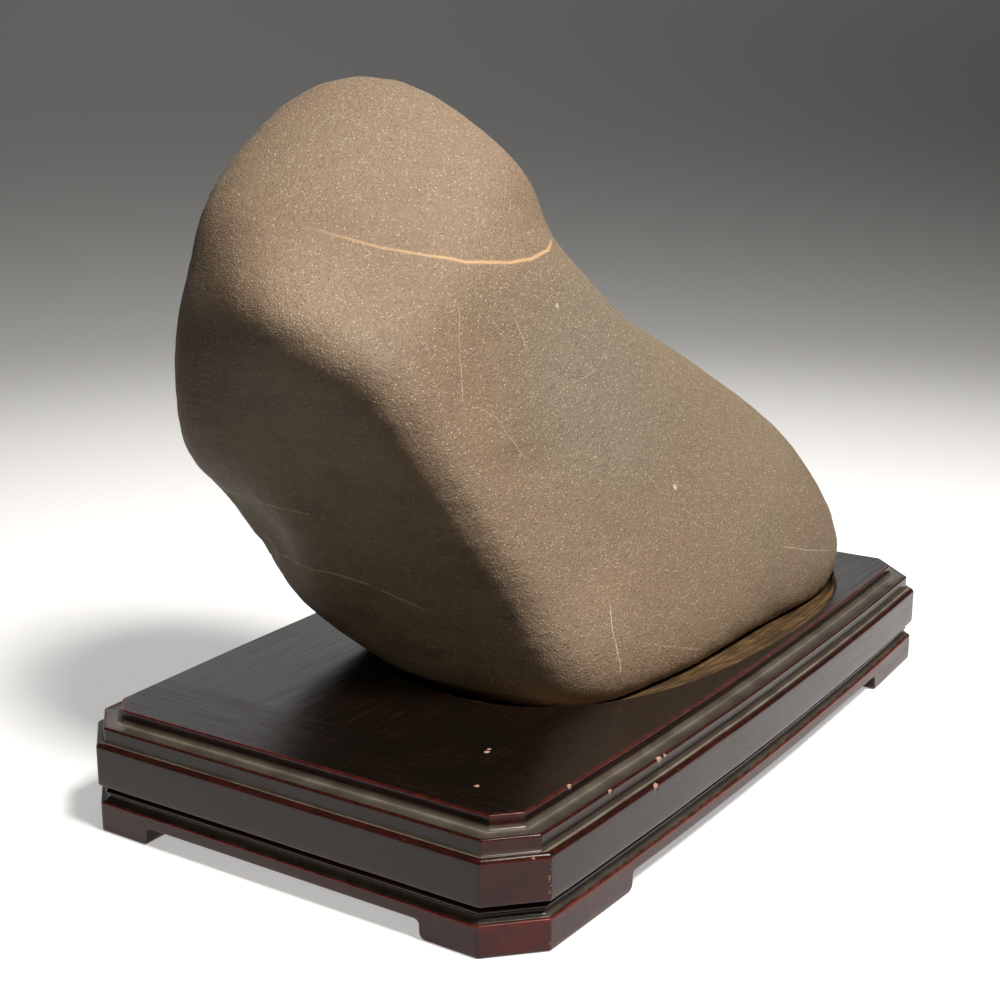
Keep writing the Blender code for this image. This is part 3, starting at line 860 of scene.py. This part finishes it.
def board_section():
    """Belt, ledge and panel edge, from the underside up to the panel's face."""
    belt, ledge, panel = 0, 1, 2
    rows = band(belt, [(UNDERSIDE_INSET, BELT_BOTTOM), (0.0060, BELT_BOTTOM)])
    rows += band(belt, arc((0.0016, BELT_BOTTOM + 0.0016), 0.0016, -90, 0, 6), rub=0.15)
    rows += band(belt, [(0.0, 0.0290), (0.0, 0.0330), (0.0, 0.0370), (0.0, 0.0410), (0.0, 0.0436)])
    rows += band(belt, arc((0.0024, BELT_TOP - 0.0024), 0.0024, 0, 90, 9), rub=0.16)
    rows += band(belt, [(0.0029, BELT_TOP - 0.0002)], dust=0.8)
    rows += band(belt, [(0.0034, BELT_TOP - 0.0002)], dust=1.0)
    rows += band(ledge, [(-0.0014, BELT_TOP - 0.0001)], dust=1.0)
    rows += band(ledge, [(-0.0010, BELT_TOP - 0.0001)], dust=0.7)
    rows += band(ledge, arc((-0.0010, BELT_TOP + 0.0010), -0.0010, 90, 0, 6), dust=0.25)[1:]
    rows += band(ledge, [(0.0, BELT_TOP + 0.0022)])
    rows += band(ledge, [(0.0, 0.0520), (0.0, 0.0536)])
    rows += band(ledge, arc((0.0011, LEDGE_TOP - 0.0011), 0.0011, 0, 90, 7), rub=0.20)
    rows += band(ledge, [(0.0017, LEDGE_TOP - 0.0001)], dust=0.2, rub=0.15)
    rows += band(ledge, [(0.0030, LEDGE_TOP - 0.0006), (0.0044, LEDGE_TOP - 0.0008)], dust=0.32)
    rows += band(panel, [(-0.0042, LEDGE_TOP - 0.0008)], dust=0.36)
    rows += band(panel, [(-0.0026, LEDGE_TOP - 0.0006)], dust=0.55)
    rows += band(panel, [(-0.0018, LEDGE_TOP - 0.0005)], dust=0.95)
    rows += band(panel, arc((-0.0018, LEDGE_TOP + 0.0013), -0.0018, 90, 0, 6), dust=0.45)[1:]
    rows += band(panel, [(0.0, LEDGE_TOP + 0.0022)])
    rows += band(panel, [(0.0, 0.0590), (0.0, 0.0606)])
    rows += band(panel, arc((0.0008, PANEL_TOP - 0.0008), 0.0008, 0, 90, 6), rub=0.45)
    rows += band(panel, [(0.0014, PANEL_TOP)], rub=0.1)
    rows += band(panel, [(0.0024, PANEL_TOP)])
    return rows


def socket_rim(heading):
    """The rim's distance from the socket's centre along a heading."""
    turn = heading - SOCKET_TURN
    angle = math.atan2(math.sin(turn) / SOCKET_RIM[1], math.cos(turn) / SOCKET_RIM[0])
    cos, sin = math.cos(angle), math.sin(angle)
    square = (abs(cos) ** SOCKET_SQUARENESS + abs(sin) ** SOCKET_SQUARENESS) ** (-1.0 / SOCKET_SQUARENESS)
    return square * math.hypot(SOCKET_RIM[0] * cos, SOCKET_RIM[1] * sin)


def carve_socket(bm, count, rows, skin):
    """Closes the board: its underside, its face, and the socket that hugs the stone."""
    raw = bm.verts.layers.float.new("raw")
    verts = list(bm.verts)
    bottom = [verts[i * rows] for i in range(count)]
    outer = [verts[i * rows + rows - 1] for i in range(count)]
    centre = Vector((*SOCKET_CENTRE, 0.0))

    def ring(spots, bare):
        made = [bm.verts.new(s) for s in spots]
        for v in made:
            v[raw] = bare
        return made

    def join(first, second):
        for i in range(count):
            j = (i + 1) % count
            bm.faces.new((first[i], first[j], second[j], second[i]))

    def cap(loop, spot):
        pole = bm.verts.new(spot)
        for i in range(count):
            bm.faces.new((loop[i], loop[(i + 1) % count], pole))
        return pole

    half = [v.co.lerp(Vector((0.0, 0.0, v.co.z)), 0.5) for v in bottom]
    middle = ring(half, 0.0)
    join(bottom, middle)
    cap(middle, (0.0, 0.0, BELT_BOTTOM))

    ways, rims, skins = [], [], []
    for v in outer:
        way = v.co - centre
        way.z = 0.0
        way.normalize()
        heading = math.atan2(way.y, way.x)
        by_level = [skin(way, max(level_height(s), STONE_SOLE)) + SOCKET_FIT for s in SOCKET_LEVELS]
        top_skin = skin(way, PANEL_TOP) + SOCKET_FIT
        ways.append(way)
        skins.append(by_level)
        rims.append(max(socket_rim(heading), top_skin))

    def at(radius_of, z):
        spots = []
        for i, way in enumerate(ways):
            spots.append(centre + way * radius_of(i) + Vector((0.0, 0.0, z)))
        return spots

    last = outer
    for share in (0.30, 0.65, 0.90):
        spots = []
        for i, v in enumerate(outer):
            inner = centre + ways[i] * (rims[i] + 0.0012)
            spots.append(Vector((*v.co.lerp(inner, share).xy, PANEL_TOP)))
        step = ring(spots, 0.0)
        join(last, step)
        last = step
    for out, down, bare in ((0.0012, 0.0, 0.0), (0.0006, 0.0001, 0.25), (0.0002, 0.0004, 0.7)):
        step = ring(at(lambda i: rims[i] + out, PANEL_TOP - down), bare)
        join(last, step)
        last = step
    for k, share in enumerate(SOCKET_LEVELS):
        z = level_height(share)
        reach = lambda i: skins[i][k] + max(rims[i] - skins[i][k], 0.0) * share ** SOCKET_DISH
        step = ring(at(reach, z), 1.0)
        join(last, step)
        last = step
    pole = cap(last, (*SOCKET_CENTRE, SOCKET_FLOOR))
    pole[raw] = 1.0


def level_height(share):
    return SOCKET_FLOOR + (PANEL_TOP - SOCKET_FLOOR) * share


def dent_chips(mesh):
    """Small hollows where the lacquer and a little wood have broken away."""
    points = coordinates(mesh)
    normals = np.array([v.normal for v in mesh.vertices])
    for centre, width in CHIPS:
        points = press(points, normals, centre, width, CHIP_DEPTH)
    mesh.vertices.foreach_set("co", points.ravel())
    mesh.update()


def build_board(sweep, finish, stone):
    tree = BVHTree.FromPolygons(
        [v.co for v in stone.data.vertices], [tuple(p.vertices) for p in stone.data.polygons])

    def skin(way, z):
        origin = Vector((*SOCKET_CENTRE, z)) + way * SOCKET_LOOK_FROM
        hit = tree.ray_cast(origin, -way)[0]
        return (hit.xy - Vector(SOCKET_CENTRE)).length if hit else 0.0

    section = board_section()
    mesh, count = swept("moulded_board", sweep, (BELT, LEDGE, PANEL), section, finish, 1.0, 0.0005)
    sealed(mesh, lambda bm: carve_socket(bm, count, len(section), skin))
    dent_chips(mesh)
    return add_piece("moulded_board", mesh, "top_board")


def build_waist(sweep, finish):
    """The recessed bead and cove between the board and the feet."""
    bottom, top = RAIL_TOP + SEAM, BELT_BOTTOM - SEAM
    rows = band(0, [(0.0010, bottom)], dust=0.45)
    rows += band(0, arc((0.0016, bottom + 0.0028), -0.0028, 90, 20, 6), dust=0.30)[1:]
    rows += band(0, [(0.0046, bottom + 0.0026), (0.0040, bottom + 0.0030)])
    rows += band(0, arc((0.0041, bottom + 0.0044), 0.0014, -80, 80, 9), rub=0.1)
    rows += band(0, [(0.0050, bottom + 0.0060), (0.0056, bottom + 0.0062)])
    rows += band(0, [(0.0058, top), (0.0315, top), (0.0315, bottom), (0.0010, bottom)])
    mesh, _ = swept("waist_bead", sweep, (FOOT_RAIL,), rows, finish, 1.0, 0.0004)
    return add_piece("waist_bead", sealed(mesh), "waist_moulding")


def build_feet(sweep, finish):
    """The bottom rails with bracket feet, their ends coved above and rounded below."""
    rows = band(0, [(0.0030, 0.0)])
    rows += band(0, arc((0.0014, 0.0014), 0.0014, -90, 0, 6), rub=0.10)
    rows += band(0, [(0.0, 0.0040), (0.0, 0.0080), (0.0, 0.0120)])
    rows += band(0, [(0.0, RAIL_TOP - 0.0016)], rub=0.25)
    rows += band(0, arc((0.0007, RAIL_TOP - 0.0007), 0.0007, 0, 90, 6), rub=1.0)
    rows += band(0, [(0.0013, RAIL_TOP)], rub=0.3, dust=0.3)
    rows += band(0, [(0.0030, RAIL_TOP)], dust=0.5)
    rows += band(0, [(RAIL_WIDTH, RAIL_TOP), (RAIL_WIDTH, 0.0), (0.0030, 0.0)])
    ends = (FOOT_RAIL[0] / 2.0 - FOOT_ARM_LONG, FOOT_RAIL[1] / 2.0 - FOOT_ARM_SHORT)
    mesh, _ = swept("bracket_feet", sweep, (FOOT_RAIL,), rows, finish, RAIL_TOP, 0.0004, ends)
    return add_piece("bracket_feet", sealed(mesh), "foot_frame")


# ---- studio ----

CAMERA_SPOT = (-0.7938, -0.4850, 0.3816)
CAMERA_TURN = (75.30, 0.0, -56.72)
CAMERA_LENS = 59.98
LOOK_AT = (0.0, 0.0, 0.15)
# Floor: a painted glow near the stand, and painted shade that greys it far away.
GLOW = 0.40
GLOW_REACH = (0.3, 1.5)
PALE_PAINT = (0.80, 0.80, 0.80)
FAR_PAINTED_SHADE = (0.36, 0.36, 0.36)
PAINTED_SHADE_FADE = (0.9, 2.6)
AIR_COLOUR = (0.60, 0.55, 0.47, 1.0)
AIR_STRENGTH = 0.07


def studio_floor():
    """A round pale floor that sweeps up into a wall all the way round, with a painted glow near the middle
    and painted shade far out.
    """
    flat, wall, bend, steps = 1.3, 3.4, 2.9, 24
    profile = [(flat * i / 8.0, 0.0) for i in range(1, 9)]
    for i in range(1, steps + 1):
        a = math.radians(90.0 * i / steps)
        profile.append((flat + bend * math.sin(a), bend * (1.0 - math.cos(a))))
    profile.append((flat + bend, wall))
    count = 96
    bm = bmesh.new()
    pole = bm.verts.new((0.0, 0.0, 0.0))
    last = None
    for radius, z in profile:
        turns = [2.0 * math.pi * i / count for i in range(count)]
        ring = [bm.verts.new((radius * math.cos(t), radius * math.sin(t), z)) for t in turns]
        for i in range(count):
            j = (i + 1) % count
            face = (pole, ring[i], ring[j]) if last is None else (last[i], ring[i], ring[j], last[j])
            bm.faces.new(face)
        last = ring
    mesh = bpy.data.meshes.new("studio_floor")
    bm.to_mesh(mesh)
    bm.free()
    mesh.shade_smooth()
    paint = bpy.data.materials.new("pale_floor")
    paint.use_nodes = True
    shader = paint.node_tree.nodes["Principled BSDF"]
    shader.inputs["Roughness"].default_value = 0.9
    shader.inputs["Specular IOR Level"].default_value = 0.1
    tree = paint.node_tree
    where = put(tree, "ShaderNodeTexCoord").outputs["Object"]
    # Painted light: the floor glows near the stand, so shadows on it stay pale.
    away = vcalc(tree, "LENGTH", where, output="Value")
    glow = between(tree, away, GLOW_REACH[1], GLOW_REACH[0], 0.0, GLOW)
    tree.links.new(glow, shader.inputs["Emission Strength"])
    # Painted shade: the floor and wall turn darker grey with distance from the stand.
    shade = blend(tree, between(tree, away, *PAINTED_SHADE_FADE), PALE_PAINT, FAR_PAINTED_SHADE)
    tree.links.new(shade, shader.inputs["Base Color"])
    shader.inputs["Emission Color"].default_value = (1.0, 1.0, 1.0, 1.0)
    mesh.materials.append(paint)
    obj = bpy.data.objects.new("studio_floor", mesh)
    obj.visible_diffuse = False
    bpy.context.scene.collection.objects.link(obj)


def soft_light(name, spot_at, size, power, colour, aim=LOOK_AT, spread=180.0, mirrored=True):
    lamp = bpy.data.lights.new(name, "AREA")
    lamp.spread = math.radians(spread)
    lamp.shape = "RECTANGLE"
    lamp.size, lamp.size_y = size
    lamp.energy = power
    lamp.color = colour
    obj = bpy.data.objects.new(name, lamp)
    obj.location = spot_at
    facing = (Vector(aim) - Vector(spot_at)).to_track_quat("-Z", "Y")
    obj.rotation_euler = facing.to_euler()
    obj.visible_camera = False
    obj.visible_glossy = mirrored
    bpy.context.scene.collection.objects.link(obj)


def studio():
    scene = bpy.context.scene
    eye = bpy.data.cameras.new("studio_camera")
    eye.lens = CAMERA_LENS
    eye.sensor_width = 36.0
    eye.clip_end = 50.0
    camera = bpy.data.objects.new("studio_camera", eye)
    camera.location = CAMERA_SPOT
    camera.rotation_euler = [math.radians(a) for a in CAMERA_TURN]
    scene.collection.objects.link(camera)
    scene.camera = camera
    world = bpy.data.worlds.new("studio_air")
    world.use_nodes = True
    air = world.node_tree.nodes["Background"].inputs
    air["Color"].default_value = AIR_COLOUR
    air["Strength"].default_value = AIR_STRENGTH
    scene.world = world
    scene.view_settings.view_transform = "Standard"
    soft_light("key", (-0.24, -1.11, 1.97), (0.55, 0.55), 18.5, (1.0, 0.96, 0.90), spread=90.0)
    soft_light("low_fill", (-0.36, -0.02, 0.078), (0.20, 0.06), 0.046, (1.0, 0.90, 0.74),
               aim=(-0.13, 0.02, 0.10), mirrored=False)
    soft_light("back_card", (2.2, 1.9, 1.35), (4.2, 1.7), 18.0, (1.0, 1.0, 1.0))
    studio_floor()


def main():
    sandstone = sandstone_finish()
    lacquer = lacquer_finish("aged_lacquer", 0.17, with_socket=True)
    waist = lacquer_finish("bead_lacquer", 0.18)
    feet = lacquer_finish("bracket_lacquer", 0.26, redness=0.38)
    sweep = moulding_sweep()
    stone = build_stone(sandstone)
    build_board(sweep, lacquer, stone)
    build_waist(sweep, waist)
    build_feet(sweep, feet)
    studio()


main()
